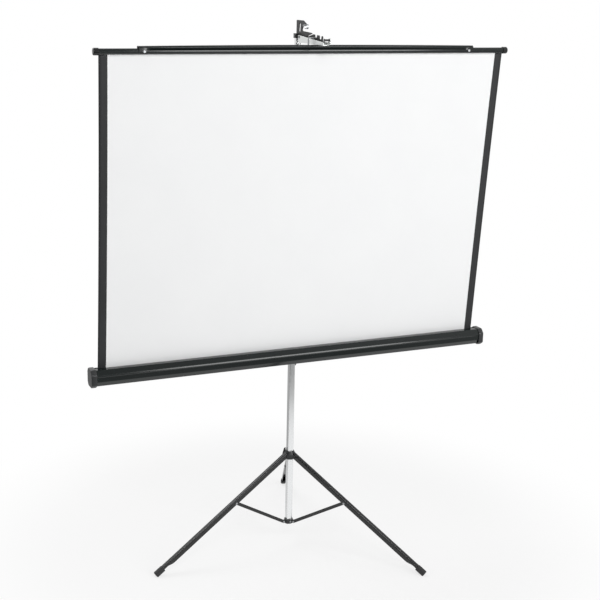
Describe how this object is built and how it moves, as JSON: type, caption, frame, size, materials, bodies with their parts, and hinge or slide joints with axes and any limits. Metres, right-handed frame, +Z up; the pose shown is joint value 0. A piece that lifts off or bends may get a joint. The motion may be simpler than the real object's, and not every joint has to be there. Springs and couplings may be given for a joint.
{
  "type": "tripod projector screen",
  "caption": "Portable projection screen on a folding tripod: roll-up white sheet with black borders, case on a sliding carriage, telescopic tube with a notched tilt arm.",
  "frame": {"origin": "on the floor, under the middle of the part's bounding box", "axes": "+Z up along the pole, X along the case and the sheet's width, -Y the viewing side"},
  "size_m": [1.5906, 1.0066, 2.0157],
  "materials": {
    "pole_metal": "bright satin plated square steel tube",
    "black_plastic": "moulded black nylon, fine grain",
    "leg_paint": "gloss black enamel on folded steel",
    "rubber": "moulded black rubber",
    "rivet_steel": "bright zinc plate",
    "case_paint": "semi-gloss black enamel on rolled steel",
    "cap_plastic": "moulded black plastic, soft gloss",
    "screen_fabric": "matt white coated cloth with black printed borders",
    "arm_metal": "zinc plated pressed steel"
  },
  "bodies": {
    "pole": {"pole_tube": "pole_metal", "pole_foot_plug": "black_plastic", "extension_lock_housing": "black_plastic", "brace_collar": "black_plastic", "collar_screw": "rivet_steel", "collar_pin_left": "rivet_steel", "collar_pin_right": "rivet_steel", "collar_pin_rear": "rivet_steel"},
    "lock_knob": {"extension_lock_knob": "black_plastic"},
    "hub": {"leg_hub": "black_plastic"},
    "hub_latch": {"hub_latch_lever": "black_plastic"},
    "left_brace": {"brace_left": "leg_paint"},
    "left_leg": {"leg_left": "leg_paint", "shoe_left": "rubber", "brace_pin_left": "rivet_steel"},
    "right_brace": {"brace_right": "leg_paint"},
    "right_leg": {"leg_right": "leg_paint", "shoe_right": "rubber", "brace_pin_right": "rivet_steel"},
    "rear_brace": {"brace_rear": "leg_paint"},
    "rear_leg": {"leg_rear": "leg_paint", "shoe_rear": "rubber", "brace_pin_rear": "rivet_steel"},
    "case": {"case_carriage": "black_plastic", "swivel_washer": "black_plastic", "case_bracket": "leg_paint", "swivel_bolt": "rivet_steel", "case_shell": "case_paint", "case_cap_left": "cap_plastic", "case_cap_right": "cap_plastic", "spring_shaft": "rivet_steel", "screen_sheet": "screen_fabric", "carry_handle": "black_plastic"},
    "case_latch": {"case_latch_lever": "black_plastic"},
    "roller": {"roller_tube": "rivet_steel", "roller_plug_right": "black_plastic", "roller_plug_left": "black_plastic", "roller_spring": "rivet_steel", "wound_sheet": "screen_fabric"},
    "extension": {"extension_tube": "pole_metal", "extension_runner": "black_plastic", "extension_head": "black_plastic", "head_rivet": "rivet_steel", "head_clip": "rivet_steel", "keystone_arm": "arm_metal", "arm_rack": "black_plastic", "rack_rivet": "rivet_steel", "arm_pivot_pin": "rivet_steel", "arm_tip_pin": "black_plastic", "top_bar": "case_paint", "bar_cap_left": "cap_plastic", "bar_cap_right": "cap_plastic", "bail": "case_paint", "bail_rivet_left": "rivet_steel", "bail_rivet_right": "rivet_steel", "bail_hook": "rivet_steel"}
  },
  "joints": [
    {"name": "leg_fold", "type": "slide", "parent": "pole", "child": "hub", "axis": [0, 0, 1], "range_m": [0, 0.2352]},
    {"name": "left_brace_pivot", "type": "hinge", "parent": "pole", "child": "left_brace", "pos_m": [-0.02449, -0.04848, 0.0923], "axis": [-0.1564, 0.9877, 0], "range_deg": [0, 59.5]},
    {"name": "left_leg_pivot", "type": "hinge", "parent": "left_brace", "child": "left_leg", "pos_m": [-0.23806, -0.08231, 0.21996], "axis": [0.1564, -0.9877, 0], "range_deg": [0, 116.5]},
    {"name": "right_brace_pivot", "type": "hinge", "parent": "pole", "child": "right_brace", "pos_m": [0.01561, -0.06387, 0.0923], "axis": [-0.7771, -0.6293, 0], "range_deg": [0, 59.5]},
    {"name": "right_leg_pivot", "type": "hinge", "parent": "right_brace", "child": "right_leg", "pos_m": [0.15168, -0.23192, 0.21996], "axis": [0.7771, 0.6293, 0], "range_deg": [0, 116.5]},
    {"name": "rear_brace_pivot", "type": "hinge", "parent": "pole", "child": "rear_brace", "pos_m": [0.00889, -0.02145, 0.0923], "axis": [0.9336, -0.3584, 0], "range_deg": [0, 59.5]},
    {"name": "rear_leg_pivot", "type": "hinge", "parent": "rear_brace", "child": "rear_leg", "pos_m": [0.08638, 0.18042, 0.21996], "axis": [-0.9336, 0.3584, 0], "range_deg": [0, 116.5]},
    {"name": "hub_latch_tilt", "type": "hinge", "parent": "hub", "child": "hub_latch", "pos_m": [-0.01479, -0.02634, 0.3712], "axis": [-0.7771, -0.6293, 0], "range_deg": [0, 25]},
    {"name": "lock_knob_turn", "type": "hinge", "parent": "pole", "child": "lock_knob", "pos_m": [0, -0.0183, 1.189], "axis": [0, 1, 0], "range_deg": [0, 360]},
    {"name": "case_height", "type": "slide", "parent": "pole", "child": "case", "axis": [0, 0, 1], "range_m": [-0.06, 0.13]},
    {"name": "case_latch_tilt", "type": "hinge", "parent": "case", "child": "case_latch", "pos_m": [0.021, -0.0446, 0.772], "axis": [0, -1, 0], "range_deg": [0, 20]},
    {"name": "screen_extension", "type": "slide", "parent": "case", "child": "extension", "axis": [0, 0, 1], "range_m": [-0.64, 0.16], "deforming": ["screen_sheet"]},
    {"name": "roller_turn", "type": "hinge", "parent": "case", "child": "roller", "pos_m": [0, -0.1026, 0.79], "axis": [1, 0, 0], "range_deg": [-2200, 560]}
  ],
  "couplings": [
    {"joint": "left_brace_pivot", "follows": "leg_fold", "rad_per_m": 4.4111},
    {"joint": "left_leg_pivot", "follows": "leg_fold", "rad_per_m": 8.6408},
    {"joint": "right_brace_pivot", "follows": "leg_fold", "rad_per_m": 4.4111},
    {"joint": "right_leg_pivot", "follows": "leg_fold", "rad_per_m": 8.6408},
    {"joint": "rear_brace_pivot", "follows": "leg_fold", "rad_per_m": 4.4111},
    {"joint": "rear_leg_pivot", "follows": "leg_fold", "rad_per_m": 8.6408},
    {"joint": "roller_turn", "follows": "screen_extension", "rad_per_m": 58.58}
  ]
}
